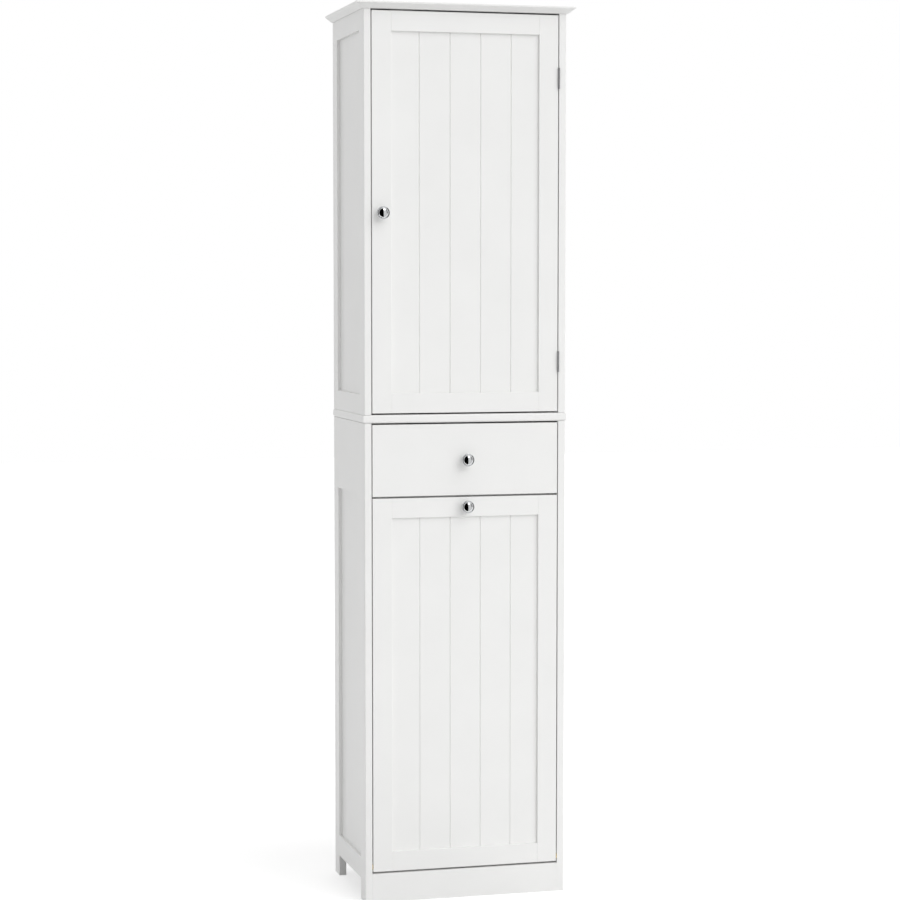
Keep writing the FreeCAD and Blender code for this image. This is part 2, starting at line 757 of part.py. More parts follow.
def butt_hinges():
    """Two leaves with interleaved knuckles on a pin, twice."""
    leaves = {"frame": [], "door": []}
    pins = []
    screws = {"frame": [], "door": []}
    share = "(hinge_length / 5)"
    for middle in HINGES:
        foot = f"({middle} - hinge_length / 2)"
        for side, steps in (("frame", (0, 2, 4)), ("door", (1, 3))):
            sheet_x = f"({INNER} - leaf_thickness)" if side == "frame" else f"({INNER} - front_gap)"
            parts = [block((sheet_x, FRONT, foot), "leaf_thickness", "hinge_leaf", "hinge_length")]
            for step in steps:
                low = f"({foot} + {share} * {step} + knuckle_play / 2)"
                tall = f"({share} - knuckle_play)"
                parts.append(rod((HINGE_X, HINGE_Y, low), UPRIGHT, "knuckle_radius", tall))
                parts.append(block((sheet_x, f"{FRONT} - knuckle_radius * 0.75", low),
                                   "leaf_thickness", "knuckle_radius * 0.75", tall))
            play = "hinge_play" if side == "door" else "0"
            bore = rod((HINGE_X, HINGE_Y, foot), UPRIGHT, f"hinge_pin + {play}", "hinge_length")
            head_x = f"({INNER} - leaf_thickness)" if side == "frame" else (
                f"({INNER} - front_gap + leaf_thickness)")
            seats = [screw((head_x, f"{FRONT} + hinge_screw_back", f"{middle} + {sign}hinge_screw_rise"),
                           TO_LEFT if side == "frame" else TO_RIGHT) for sign in ("", "-")]
            leaves[side].append(cut(fuse(parts), fuse([bore] + seats)))
            screws[side] += seats
        pins.append(rod((HINGE_X, HINGE_Y, foot), UPRIGHT, "hinge_pin", "hinge_length"))
    group("frame_hinge_leaves", leaves["frame"])
    group("door_hinge_leaves", leaves["door"])
    group("hinge_pins", pins)
    return screws


def make_door():
    knob_x = f"({FRONT_LEFT} + knob_inset)"
    knob_z = f"({DOOR_BOTTOM} + {DOOR_HEIGHT} / 2)"
    stiles, rails = framed_front("door", DOOR_BOTTOM, DOOR_HEIGHT, knob_x, knob_z, "stile")
    bolt = knob("door", knob_x, knob_z)
    seats = [("hinge_screw_back", f"{middle} + {sign}hinge_screw_rise - {DOOR_BOTTOM}")
             for middle in HINGES for sign in ("", "-")]
    drill(stiles["right"], "YZ", ("frame_width", "0", "0"), "screw_radius", seats,
          "screw_length - leaf_thickness")
    strike_x, strike_z = "(-bracket_shift)", f"({CROWN_UNDER} - catch_height / 2 - ear_height)"
    drill_strike(rails["top"], strike_x, f"{strike_z} - ({DOOR_BOTTOM} + {DOOR_HEIGHT} - frame_width)")
    plate, fixing = strike_plate(strike_x, strike_z)
    keep("door_strike_plate", plate)
    return [bolt, fixing]


def drill_strike(rail, strike_x, rise):
    drill(rail, "XZ", ("0", "front_thickness", "0"), "screw_radius",
          [(f"{strike_x} + {FRONT_WIDTH} / 2 - frame_width", rise)],
          "screw_length - strike_sheet", reverse=True)


def strike_plate(strike_x, strike_z):
    """A thin steel plate on the back of a front, with one screw through its middle."""
    fixing = screw((strike_x, f"{FRONT_REAR} + strike_sheet", strike_z), TO_BACK)
    plate = block((f"{strike_x} - strike_width / 2", FRONT_REAR, f"{strike_z} - strike_height / 2"),
                  "strike_width", "strike_sheet", "strike_height")
    return cut(plate, fixing), fixing


def catches():
    """Magnetic catches: a body with an ear at each end, screwed up into the board above it."""
    items = []
    screws = []
    for middle, under in (("-bracket_shift", CROWN_UNDER), ("catch_shift", DIVIDER_UNDER)):
        front = f"({FRONT_REAR} + strike_sheet + catch_gap)"
        ears = block((f"{middle} - catch_width / 2", front, f"{under} - ear_height"), "catch_width",
                     "catch_depth", "ear_height")
        case = block((f"{middle} - catch_width / 2 + catch_ear", front, f"{under} - catch_height"),
                     "catch_width - 2 * catch_ear", "catch_depth", "catch_height")
        fixings = [screw((f"{middle} + {sign}(catch_width - catch_ear) / 2",
                          f"{front} + catch_depth / 2", f"{under} - ear_height"), TO_FLOOR)
                   for sign in ("", "-")]
        items.append(cut(fuse([ears, case]), fuse(fixings)))
        screws += fixings
    group("magnetic_catches", items)
    return screws


def wall_brackets():
    """Angle brackets under the crown board, each with a hole for a screw into the wall."""
    back = f"({FRONT} + {BACK_PANEL})"
    left = "bracket_shift - bracket_width / 2"
    level = block((left, f"{back} - bracket_leg", f"{CROWN_UNDER} - bracket_sheet"), "bracket_width",
                  "bracket_leg", "bracket_sheet")
    upright = block((left, f"{back} - bracket_sheet", f"{CROWN_UNDER} - bracket_drop"),
                    "bracket_width", "bracket_sheet", "bracket_drop")
    fixing = screw(("bracket_shift", f"{back} - bracket_leg * 2 / 3", f"{CROWN_UNDER} - bracket_sheet"),
                   TO_FLOOR)
    hole = rod(("bracket_shift", f"{back} - bracket_sheet", f"{CROWN_UNDER} - wall_hole_drop"),
               TO_BACK, "wall_hole", "bracket_sheet")
    pair("wall_brackets", cut(fuse([level, upright]), fuse([fixing, hole])))
    return [fixing, mirror(fixing)]


# ---- drawer ----


def make_drawer():
    front = board("drawer_front", (FRONT_LEFT, FRONT, DRAWER_BOTTOM), FRONT_WIDTH, "front_thickness",
                  "drawer_height")
    round_face_edges(front, "front", ALL_FRONT_EDGES)
    floor = "(box_rise + floor_rise)"
    inner_half = f"({BOX_HALF} - box_side)"
    cut_block(front, "XZ", (f"{FRONT_WIDTH} / 2 - {inner_half} - floor_tongue", "front_thickness",
                            floor),
              f"2 * {inner_half} + 2 * floor_tongue", "box_floor", "floor_tongue", reverse=True)
    drill(front, "XZ", ("0", "0", "0"), "bolt_radius + bolt_play",
          [(f"{FRONT_WIDTH} / 2", "drawer_height / 2")], "front_thickness")
    low = f"({DRAWER_BOTTOM} + box_rise)"
    for side, edge in (("left", f"-{BOX_HALF}"), ("right", inner_half)):
        item = board(f"drawer_{side}_side", (edge, FRONT_REAR, low), "box_side", "box_length",
                     "box_height")
        inner = "box_side" if side == "left" else "0"
        outer = "0" if side == "left" else "box_side"
        cut_block(item, "YZ", (inner, "0", "floor_rise"), "box_length", "box_floor", "floor_tongue",
                  reverse=side == "right")
        seats = [(back, f"{rise} - {low}") for back, rise in rail_seats()]
        drill(item, "YZ", (outer, "0", "0"), "screw_radius", seats, "screw_length - runner_sheet",
              reverse=side == "left")
    board("drawer_back", (f"-{inner_half}", f"{FRONT_REAR} + box_length - box_side",
                          f"{low} + floor_rise + box_floor"),
          f"2 * {inner_half}", "box_side", "box_height - floor_rise - box_floor")
    board("drawer_bottom", (f"-{inner_half} - floor_tongue", f"{FRONT_REAR} - floor_tongue",
                            f"{low} + floor_rise"),
          f"2 * {inner_half} + 2 * floor_tongue", "box_length + floor_tongue", "box_floor")
    return knob("drawer", "0", f"{DRAWER_BOTTOM} + drawer_height / 2")


def runners():
    """Roller runners: a channel with a front roller on the cabinet, a rail with a rear one on the box."""
    start = f"({FRONT} + runner_front)"
    web_x = f"({INNER} - runner_sheet)"
    flange_x = f"({web_x} - runner_flange)"
    gap = "(2 * roller_radius + 3 * roller_play + runner_sheet)"
    parts = [block((web_x, start, RUNNER_Z), "runner_sheet", "runner_length",
                   f"{gap} + 2 * runner_sheet")]
    for rise in ("0", f"{gap} + runner_sheet"):
        parts.append(block((flange_x, start, f"{RUNNER_Z} + {rise}"), "runner_flange",
                           "runner_length", "runner_sheet"))
    for lug in ("lug_front", "lug_rear"):
        parts.append(block((f"{flange_x} + lug_inset", f"{FRONT} + {lug}",
                            f"{RUNNER_Z} + runner_sheet"),
                           "runner_flange - lug_inset", "lug_length", "lug_height"))
    axle_length = "(roller_width + 2 * roller_inset)"
    parts.append(rod((f"{web_x} - {axle_length}", f"{FRONT} + roller_front", ROLLER_Z), TO_RIGHT,
                     "roller_axle", axle_length))
    fixings = [screw((web_x, f"{FRONT} + {back}", rise), TO_LEFT) for back, rise in runner_seats()]
    pair("runner_channels", cut(fuse(parts), fuse(fixings)))

    roller_x = f"({web_x} - roller_inset - roller_width)"
    for name, back in (("cabinet_rollers", "roller_front"), ("drawer_rollers", "roller_rear")):
        at = (roller_x, f"{FRONT} + {back}", ROLLER_Z)
        pair(name, cut(rod(at, TO_RIGHT, "roller_radius", "roller_width"),
                       rod(at, TO_RIGHT, "roller_axle + axle_play", "roller_width")))

    rail = [block((BOX_HALF, FRONT_REAR, f"{RAIL_TOP} - 2 * roller_radius"), "runner_sheet",
                  "rail_length", "2 * roller_radius"),
            block((BOX_HALF, FRONT_REAR, f"{RAIL_TOP} - runner_sheet"),
                  "runner_sheet + runner_flange", "rail_length", "runner_sheet"),
            rod((BOX_HALF, f"{FRONT} + roller_rear", ROLLER_Z), TO_RIGHT, "roller_axle",
                f"{roller_x} + roller_width - {BOX_HALF}")]
    rail_fixings = [screw((f"{BOX_HALF} + runner_sheet", f"{FRONT_REAR} + {back}", rise), TO_RIGHT)
                    for back, rise in rail_seats()]
    pair("drawer_runner_rails", cut(fuse(rail), fuse(rail_fixings)))
    return with_mirrors(fixings), with_mirrors(rail_fixings)


# ---- tip-out front ----


def make_hamper():
    knob_z = f"({HAMPER_BOTTOM} + {HAMPER_HEIGHT} - knob_inset)"
    stiles, rails = framed_front("hamper", HAMPER_BOTTOM, HAMPER_HEIGHT, "0", knob_z, "rail")
    bolt = knob("hamper", "0", knob_z)
    for side in ("left", "right"):
        edge = "0" if side == "left" else "frame_width"
        drill(stiles[side], "YZ", (edge, "0", "0"), "pivot_radius + pivot_play",
              [("pivot_back", "pivot_rise")], "pivot_bite + pivot_play * 10", reverse=side == "left")
        columns = (("foot_seat", stay_seat_rises()), ("plate_seat", plate_seat_rises()))
        for column, rises in columns:
            offset = seat_offset(column)
            seat_x = offset if side == "left" else f"frame_width - {offset}"
            thickness = "stay_sheet" if column == "foot_seat" else "wire_plate"
            drill(stiles[side], "XZ", ("0", "front_thickness", "0"), "screw_radius",
                  [(seat_x, f"{rise} - {HAMPER_BOTTOM}") for rise in rises],
                  f"screw_length - {thickness}", reverse=True)
    strike_z = f"({DIVIDER_UNDER} - catch_height / 2)"
    drill_strike(rails["top"], "catch_shift",
                 f"{strike_z} - ({HAMPER_BOTTOM} + {HAMPER_HEIGHT} - frame_width)")
    plate, fixing = strike_plate("catch_shift", strike_z)
    keep("hamper_strike_plate", plate)
    return [bolt, fixing]


def seat_offset(column):
    """Distance of a column of screws from the outer edge of the tip-out front."""
    if column == "foot_seat":
        return "(stay_inset - front_gap + foot_width / 2)"
    return f"({FRONT_WIDTH} / 2 - wire_half - plate_width / 2)"


def stay_seat_rises():
    middle = f"({PIVOT_Z} + stay_radius)"
    return [f"({middle} - foot_drop + {share} * foot_length)" for share in ("0.15", "0.4")]


def plate_seat_rises():
    return [f"(wire_rise + plate_top - {share} * plate_height)" for share in ("0.4", "0.9")]


def pivots():
    """Brass pins at the bottom corners, each with a collar in the gap beside the front."""
    pin = rod((f"{INNER} - front_gap - pivot_bite", PIVOT_Y, PIVOT_Z), TO_RIGHT, "pivot_radius",
              "pivot_bite + front_gap + dowel_sink")
    collar = rod((f"{INNER} - front_gap + collar_play", PIVOT_Y, PIVOT_Z), TO_RIGHT, "pivot_collar",
                 "front_gap - collar_play")
    pair("pivot_pins", fuse([pin, collar]))


def ring_sector(radius, half_width, start, sweep):
    """A flat ring sector round the pivot; angles run backwards from straight up."""
    upright_back = Rotation(Vector(0, 0, 1), Vector(0, 1, 0), Vector(-1, 0, 0), "ZXY")
    turn = upright_back * Rotation(Vector(0, 0, 1), start)
    outer = primitive("Cylinder", turn=turn, Radius=f"{radius} + ({half_width})",
                      Height="stay_sheet", Angle=sweep)
    inner = primitive("Cylinder", turn=turn, Radius=f"{radius} - ({half_width})",
                      Height="stay_sheet", Angle=sweep)
    return cut(outer, inner)


def slot_end(angle):
    """The round end of a stay's slot, at an angle back from straight up."""
    turned = math.radians(angle)
    at = ("-stay_sheet", f"stay_radius * {math.sin(turned)}", f"stay_radius * {math.cos(turned)}")
    return rod(at, TO_RIGHT, "stud_radius + slot_play", "stay_sheet")


def stays():
    """Slotted quadrant arms on the front, and the studs on the sides that run in their slots."""
    first = math.degrees(math.asin((size("stud_back") - size("pivot_back")) / size("stay_radius")))
    inner_radius = size("stay_radius") - size("stay_width") / 2
    begin = math.degrees(math.asin((size("front_thickness") - size("pivot_back")) / inner_radius))
    last = first + size("tip_angle")
    spare = size("slot_spare")
    arm = ring_sector("stay_radius", "stay_width / 2", begin, "stay_sweep")
    slot = ring_sector("stay_radius", "stud_radius + slot_play", first - spare,
                       "tip_angle + 2 * slot_spare")
    foot = block(("-foot_width", "front_thickness - pivot_back", "stay_radius - foot_drop"),
                 "foot_width", "stay_sheet", "foot_length")
    plate = cut(fuse([arm, foot]), fuse([slot, slot_end(first - spare), slot_end(last + spare)]))
    place(plate, (f"{INNER} - stay_inset", PIVOT_Y, PIVOT_Z))
    column = f"({INNER} - stay_inset - foot_width / 2)"
    fixings = [screw((column, f"{FRONT_REAR} + stay_sheet", rise), TO_BACK)
               for rise in stay_seat_rises()]
    pair("stay_arms", cut(plate, fuse(fixings)))

    stud_y = f"({FRONT} + stud_back)"
    stud_z = f"({PIVOT_Z} + {STUD_RISE})"
    neck = f"({INNER} - stay_inset - stay_sheet - stud_gap)"
    stud = fuse([rod((f"{neck} - stud_cap", stud_y, stud_z), TO_RIGHT, "stud_head", "stud_cap"),
                 rod((neck, stud_y, stud_z), TO_RIGHT, "stud_radius", f"{INNER} - {neck}"),
                 rod((INNER, stud_y, stud_z), TO_RIGHT, "screw_radius", "pin_sink")])
    pair("stay_studs", stud)
    return with_mirrors(fixings)


def bag_frame():
    """A bent wire hoop round the bag's mouth, and a braced bracket for each of its ends."""
    start = f"({FRONT_REAR} + wire_plate)"
    rear = f"({FRONT_REAR} + wire_reach)"
    corner_x, corner_y = "(wire_half - wire_corner)", f"({rear} - wire_corner)"
    lean = math.degrees(math.atan2(size("brace_reach"), size("brace_drop")))
    half = fuse([
        rod(("wire_half", start, "wire_rise"), TO_BACK, "wire_radius", f"{corner_y} - {start}"),
        primitive("Torus", (corner_x, corner_y, "wire_rise"), Radius1="wire_corner",
                  Radius2="wire_radius", Angle3="90"),
        rod(("0", rear, "wire_rise"), TO_RIGHT, "wire_radius", corner_x),
        rod(("0", f"{start} + wire_radius", "wire_rise"), TO_RIGHT, "brace_radius", "wire_half")])
    keep("bag_hoop", fuse([half, mirror(half)]))

    plate = block(("wire_half - wire_radius", FRONT_REAR, "wire_rise + plate_top - plate_height"),
                  "plate_width", "wire_plate", "plate_height")
    brace = rod(("wire_half", start, "wire_rise - brace_drop"), Rotation(Vector(1, 0, 0), -lean),
                "brace_radius", "sqrt(brace_reach ^ 2 + brace_drop ^ 2)")
    column = "(wire_half + plate_width / 2)"
    fixings = [screw((column, start, rise), TO_BACK) for rise in plate_seat_rises()]
    pair("bag_brackets", cut(fuse([plate, brace]), fuse([half] + fixings)))
    return with_mirrors(fixings)


def laundry_bag():
    """The bag as it hangs: a square-sided pouch, open at the top."""
    bag = board("laundry_bag", ("-bag_half", f"{FRONT} + bag_front", "bag_base"), "2 * bag_half",
                "bag_depth", "bag_height")
    cut_block(bag, "XY", ("bag_wall", "bag_wall", "bag_height"), "2 * bag_half - 2 * bag_wall",
              "bag_depth - 2 * bag_wall", "bag_height - bag_wall")


def build():
    make_sides()
    crown()
    mid_board()
    inner_boards()
    back_panels()
    shelves()
    dowels()
    door_fixings = make_door()
    hinge_screws = butt_hinges()
    group("door_screws", door_fixings + hinge_screws["door"])
    drawer_bolt = make_drawer()
    runner_screws, rail_screws = runners()
    group("drawer_screws", rail_screws + [drawer_bolt])
    hamper_fixings = make_hamper()
    pivots()
    group("hamper_screws", hamper_fixings + stays() + bag_frame())
    laundry_bag()
    carcass_fixings = hinge_screws["frame"] + runner_screws + catches() + wall_brackets()
    group("carcass_screws", carcass_fixings)
    doc.recompute()


def check_document():
    failed = [item.Name for item in doc.Objects if "Invalid" in item.State or "Error" in item.State]
    empty = [item.Label for item in nodes
             if item.Shape.isNull() or not item.Shape.isValid() or not item.Shape.Solids]
    if failed or empty:
        raise RuntimeError(f"failed: {failed}, no valid solid: {empty}")


def export():
    os.makedirs("parts", exist_ok=True)
    for item in nodes:
        item.Shape.exportStep(f"parts/{item.Label}.step")


build()
check_document()
export()
print(f"{len(nodes)} nodes written")
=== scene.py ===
import json
import math

import bmesh
import bpy
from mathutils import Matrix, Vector


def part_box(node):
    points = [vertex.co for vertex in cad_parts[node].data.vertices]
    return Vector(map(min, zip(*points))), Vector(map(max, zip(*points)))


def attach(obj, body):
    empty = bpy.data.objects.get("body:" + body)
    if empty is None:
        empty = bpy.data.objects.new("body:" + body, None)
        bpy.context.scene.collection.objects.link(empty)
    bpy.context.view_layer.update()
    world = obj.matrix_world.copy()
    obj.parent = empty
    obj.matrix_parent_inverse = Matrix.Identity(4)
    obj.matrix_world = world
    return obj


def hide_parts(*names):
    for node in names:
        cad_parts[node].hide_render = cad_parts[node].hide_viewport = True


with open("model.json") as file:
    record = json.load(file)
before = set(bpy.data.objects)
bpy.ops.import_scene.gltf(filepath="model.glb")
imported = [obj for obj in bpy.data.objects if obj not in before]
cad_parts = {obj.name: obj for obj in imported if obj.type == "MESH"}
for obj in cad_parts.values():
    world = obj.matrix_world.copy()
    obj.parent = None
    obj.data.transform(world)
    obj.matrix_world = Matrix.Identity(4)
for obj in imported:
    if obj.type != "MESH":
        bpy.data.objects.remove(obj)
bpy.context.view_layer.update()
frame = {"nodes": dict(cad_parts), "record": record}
nodes = frame["nodes"]

MM = 0.001
SLOTS = {m["slot"]: m for m in frame["record"]["materials"]}
WHITE, BLACK = (1, 1, 1, 1), (0, 0, 0, 1)


# ---- shader helpers ----


def add(tree, kind, operation=None, **inputs):
    """A new node; a keyword such as To_Max sets the input of that name."""
    node = tree.nodes.new("ShaderNode" + kind)
    if operation:
        node.operation = operation
    for name, value in inputs.items():
        node.inputs[name.replace("_", " ")].default_value = value
    return node


def math_of(tree, operation, first, second):
    """The result of a Math node on two sockets."""
    node = add(tree, "Math", operation)
    tree.links.new(first, node.inputs[0])
    tree.links.new(second, node.inputs[1])
    return node.outputs[0]


def vector_value(tree, operation, socket, constant):
    """The number that a Vector Math node gives for a socket and a constant vector."""
    node = add(tree, "VectorMath", operation)
    node.inputs[1].default_value = constant
    tree.links.new(socket, node.inputs[0])
    return node.outputs["Value"]


def spread(tree, source, **limits):
    """The source mapped to other limits."""
    node = add(tree, "MapRange", **limits)
    tree.links.new(source, node.inputs["Value"])
    return node.outputs[0]


def coordinates(tree, stretch=(1, 1, 1)):
    place = add(tree, "TexCoord")
    mapping = add(tree, "Mapping", Scale=stretch)
    tree.links.new(place.outputs["Object"], mapping.inputs["Vector"])
    return mapping.outputs[0]


def noise(tree, scale, detail=2.0, stretch=(1, 1, 1)):
    texture = add(tree, "TexNoise", Scale=scale, Detail=detail)
    tree.links.new(coordinates(tree, stretch), texture.inputs["Vector"])
    return texture.outputs["Fac"]


def vary(tree, source, low, high, socket):
    tree.links.new(spread(tree, source, To_Min=low, To_Max=high), socket)


def tint(tree, source, dark, light, socket):
    ramp = add(tree, "ValToRGB")
    low, high = ramp.color_ramp.elements
    low.position, high.position = 0.3, 0.7
    low.color, high.color = (*dark, 1), (*light, 1)
    tree.links.new(source, ramp.inputs["Fac"])
    tree.links.new(ramp.outputs["Color"], socket)


def bump(tree, shader, heights, strength):
    """Chains (height, distance in metres) pairs into the shader's normal."""
    normal = None
    for height, distance in heights:
        node = add(tree, "Bump", Strength=strength, Distance=distance)
        tree.links.new(height, node.inputs["Height"])
        if normal:
            tree.links.new(normal, node.inputs["Normal"])
        normal = node.outputs["Normal"]
    tree.links.new(normal, shader.inputs["Normal"])


def shade(color, share):
    return tuple(min(1.0, c * share) for c in color)


# ---- camera and light ----

# the photograph's camera: pixels for the first two, metres for the place, radians for the angles
IMAGE = 900
FOCAL_PX = 2459.5
CENTRE_Y_PX = 465.0
CAMERA_PLACE = (-1.2403, -4.6784, 1.1843)
YAW, PITCH = 0.25944, 0.07206

# the lamp: towards it, its strength, and its width in degrees
KEY_TOWARDS, KEY_STRENGTH, KEY_WIDTH = (0.41, -0.71, 0.574), 1.55, 65

# the surroundings' strength before and behind the object, where they light it
FILL_FRONT, FILL_BEHIND = 0.34, 0.88
FILL_AXIS = (-0.4, 0.92, 0.0)

# the floor's own light where it is seen, and the two places that its painted shade follows: its
# grey is deeper close to the object and towards the rear left, painted shade that gives the plinth
# and the left side less light back from the floor
FLOOR_SIZE = 24
FLOOR_GLOW = 0.55
FLOOR_SHADE_CENTRE, FLOOR_SHADE_AXIS = (-0.08, 0.11, 0.0), (0.87, -0.5, 0.0)


def link_new(name, data):
    thing = bpy.data.objects.new(name, data)
    bpy.context.scene.collection.objects.link(thing)
    return thing


def turn_to(thing, direction):
    """Turns a camera or a lamp to look along a direction."""
    thing.rotation_mode = "QUATERNION"
    thing.rotation_quaternion = direction.to_track_quat("-Z", "Y")


def make_camera():
    data = bpy.data.cameras.new("camera")
    data.sensor_width = 36.0
    data.lens = FOCAL_PX / IMAGE * data.sensor_width
    data.shift_y = (CENTRE_Y_PX - IMAGE / 2) / IMAGE
    camera = link_new("camera", data)
    camera.location = CAMERA_PLACE
    turn_to(camera, Vector((math.sin(YAW) * math.cos(PITCH), math.cos(YAW) * math.cos(PITCH),
                            -math.sin(PITCH))))
    bpy.context.scene.camera = camera


def make_key():
    """A wide soft lamp far away, so that the whole height is lit alike."""
    data = bpy.data.lights.new("key", "SUN")
    data.energy = KEY_STRENGTH
    data.angle = math.radians(KEY_WIDTH)
    lamp = link_new("key", data)
    lamp.location = Vector(KEY_TOWARDS) * 3
    turn_to(lamp, -Vector(KEY_TOWARDS))


def seen_directly(tree):
    """1 for rays from the camera, and for rays that metal or glass sends on; otherwise 0."""
    path = add(tree, "LightPath")
    seen = math_of(tree, "MAXIMUM", path.outputs["Is Camera Ray"], path.outputs["Is Glossy Ray"])
    return math_of(tree, "MAXIMUM", seen, path.outputs["Is Transmission Ray"])


def make_world():
    world = bpy.data.worlds.new("studio")
    bpy.context.scene.world = world
    world.use_nodes = True
    tree = world.node_tree
    background = tree.nodes["Background"]
    background.inputs["Color"].default_value = WHITE
    side = vector_value(tree, "DOT_PRODUCT", add(tree, "TexCoord").outputs["Generated"], FILL_AXIS)
    fill = spread(tree, side, From_Min=-1.0, To_Min=FILL_FRONT, To_Max=FILL_BEHIND)
    strength = add(tree, "MapRange", To_Max=1.0)
    tree.links.new(seen_directly(tree), strength.inputs["Value"])
    tree.links.new(fill, strength.inputs["To Min"])
    tree.links.new(strength.outputs[0], background.inputs["Strength"])
    bpy.context.scene.view_settings.view_transform = "Standard"


def make_floor():
    bpy.ops.mesh.primitive_grid_add(x_subdivisions=4, y_subdivisions=4, size=FLOOR_SIZE)
    floor = bpy.context.object
    floor.name = "floor"
    material = bpy.data.materials.new("floor")
    material.use_nodes = True
    tree = material.node_tree
    shader = tree.nodes["Principled BSDF"]
    shader.inputs["Roughness"].default_value = 0.9
    shader.inputs["Specular IOR Level"].default_value = 0.1
    shader.inputs["Emission Color"].default_value = WHITE
    glow = add(tree, "Math", "MULTIPLY")
    glow.inputs[1].default_value = FLOOR_GLOW
    tree.links.new(seen_directly(tree), glow.inputs[0])
    tree.links.new(glow.outputs[0], shader.inputs["Emission Strength"])
    # painted shade: the floor's grey is darker close to the object and towards the rear left, which
    # dims the light it throws back onto the object
    place = add(tree, "TexCoord").outputs["Object"]
    painted_shade_round_object = spread(tree, vector_value(tree, "DISTANCE", place, FLOOR_SHADE_CENTRE),
                  From_Min=0.25, From_Max=0.7, To_Min=0.77, To_Max=1.0)
    pale = spread(tree, vector_value(tree, "DOT_PRODUCT", place, FLOOR_SHADE_AXIS),
                  From_Min=-0.8, From_Max=0.3, To_Min=0.67, To_Max=0.93)
    tree.links.new(math_of(tree, "MULTIPLY", painted_shade_round_object, pale), shader.inputs["Base Color"])
    floor.data.materials.append(material)


# ---- studio cards, seen only in the polished metal ----

DARK, DIM, HALF, PALE = 0.0, 0.3, 0.5, 0.72
CARD_LEFT, CARD_RIGHT, CARD_FRONT = -3.0, 9.0, -9.0
LOW_TOP, HIGH_TOP = 9.0, 12.0
MAT_REAR, MAT_Z = -0.25, 0.004
DARK_REAR = -0.55       # where the dark cards on the left end towards the rear
DIM_FRONT = -5.0        # where the dim card on the right starts
FLOOR_SPLIT = 0.1       # between the dark and the pale mat
FRONT_SPLIT = 0.3       # between the dark and the pale card in front


def studio_card(name, glow, corners):
    """A card of one grey that neither lights the object nor shows itself."""
    mesh = bpy.data.meshes.new(name)
    mesh.from_pydata(corners, [], [(0, 1, 2, 3)])
    card = link_new(name, mesh)
    material = bpy.data.materials.new(name)
    material.use_nodes = True
    shader = material.node_tree.nodes["Principled BSDF"]
    shader.inputs["Base Color"].default_value = BLACK
    shader.inputs["Roughness"].default_value = 1.0
    shader.inputs["Specular IOR Level"].default_value = 0.0
    shader.inputs["Emission Color"].default_value = WHITE
    shader.inputs["Emission Strength"].default_value = glow
    mesh.materials.append(material)
    for ray in ("camera", "diffuse", "transmission", "volume_scatter", "shadow"):
        setattr(card, "visible_" + ray, False)


def upright(x0, y0, x1, y1, top):
    return [(x0, y0, 0.0), (x1, y1, 0.0), (x1, y1, top), (x0, y0, top)]


def level(x0, y0, x1, y1, z):
    return [(x0, y0, z), (x1, y0, z), (x1, y1, z), (x0, y1, z)]


def make_cards():
    studio_card("card_rear_left", HALF,
                upright(CARD_LEFT, -CARD_LEFT, CARD_LEFT, DARK_REAR, LOW_TOP))
    studio_card("card_left", DARK,
                upright(CARD_LEFT, DARK_REAR, CARD_LEFT, CARD_FRONT, LOW_TOP))
    studio_card("card_above", DARK,
                level(CARD_LEFT, CARD_FRONT, FLOOR_SPLIT, DARK_REAR, LOW_TOP))
    studio_card("card_front_left", DARK,
                upright(CARD_LEFT, CARD_FRONT, FRONT_SPLIT, CARD_FRONT, LOW_TOP))
    studio_card("card_front", PALE,
                upright(FRONT_SPLIT, CARD_FRONT, CARD_RIGHT, CARD_FRONT, HIGH_TOP))
    studio_card("card_right", PALE,
                upright(CARD_RIGHT, CARD_FRONT, CARD_RIGHT, DIM_FRONT, HIGH_TOP))
    studio_card("card_far_right", DIM,
                upright(CARD_RIGHT, DIM_FRONT, CARD_RIGHT, CARD_RIGHT, HIGH_TOP))
    studio_card("mat_left", DARK,
                level(CARD_LEFT, CARD_FRONT, FLOOR_SPLIT, MAT_REAR, MAT_Z))
    studio_card("mat_right", PALE,
                level(FLOOR_SPLIT, CARD_FRONT, CARD_RIGHT, MAT_REAR, MAT_Z))


# ---- materials ----


def new_material(name, slot, roughness, metallic=0.0):
    material = bpy.data.materials.new(name)
    material.use_nodes = True
    shader = material.node_tree.nodes["Principled BSDF"]
    color = list(SLOTS[slot]["base_color"])[:3]
    shader.inputs["Base Color"].default_value = (*color, 1)
    shader.inputs["Roughness"].default_value = roughness
    shader.inputs["Metallic"].default_value = metallic
    return material, material.node_tree, shader, color


def painted(name, slot, roughness):
    """Sprayed satin paint on board: faint cloudiness, and the orange peel of the sprayed film."""
    material, tree, shader, color = new_material(name, slot, roughness)
    tint(tree, noise(tree, 9, 3), shade(color, 0.985), shade(color, 1.005),
         shader.inputs["Base Color"])
    vary(tree, noise(tree, 40, 3), roughness - 0.04, roughness + 0.05, shader.inputs["Roughness"])
    bump(tree, shader, [(noise(tree, 420, 2), 0.00012), (noise(tree, 1700, 1), 0.00004)], 0.35)
    return material


def polished(name, slot):
    material, tree, shader, color = new_material(name, slot, 0.05, 1.0)
    tint(tree, noise(tree, 60, 2), shade(color, 0.97), color, shader.inputs["Base Color"])
    vary(tree, noise(tree, 900, 3, (1, 6, 1)), 0.035, 0.07, shader.inputs["Roughness"])
    bump(tree, shader, [(noise(tree, 500, 1), 0.00001)], 0.2)
    return material


def plated(name, slot, roughness):
    """Plated sheet or wire: drawn lines along the height and a slightly uneven sheen."""
    material, tree, shader, color = new_material(name, slot, roughness, 1.0)
    tint(tree, noise(tree, 120, 3), shade(color, 0.9), shade(color, 1.05),
         shader.inputs["Base Color"])
    vary(tree, noise(tree, 1400, 2, (1, 1, 0.08)), roughness - 0.07, roughness + 0.09,
         shader.inputs["Roughness"])
    bump(tree, shader, [(noise(tree, 2600, 2, (1, 1, 0.06)), 0.00002)], 0.3)
    return material


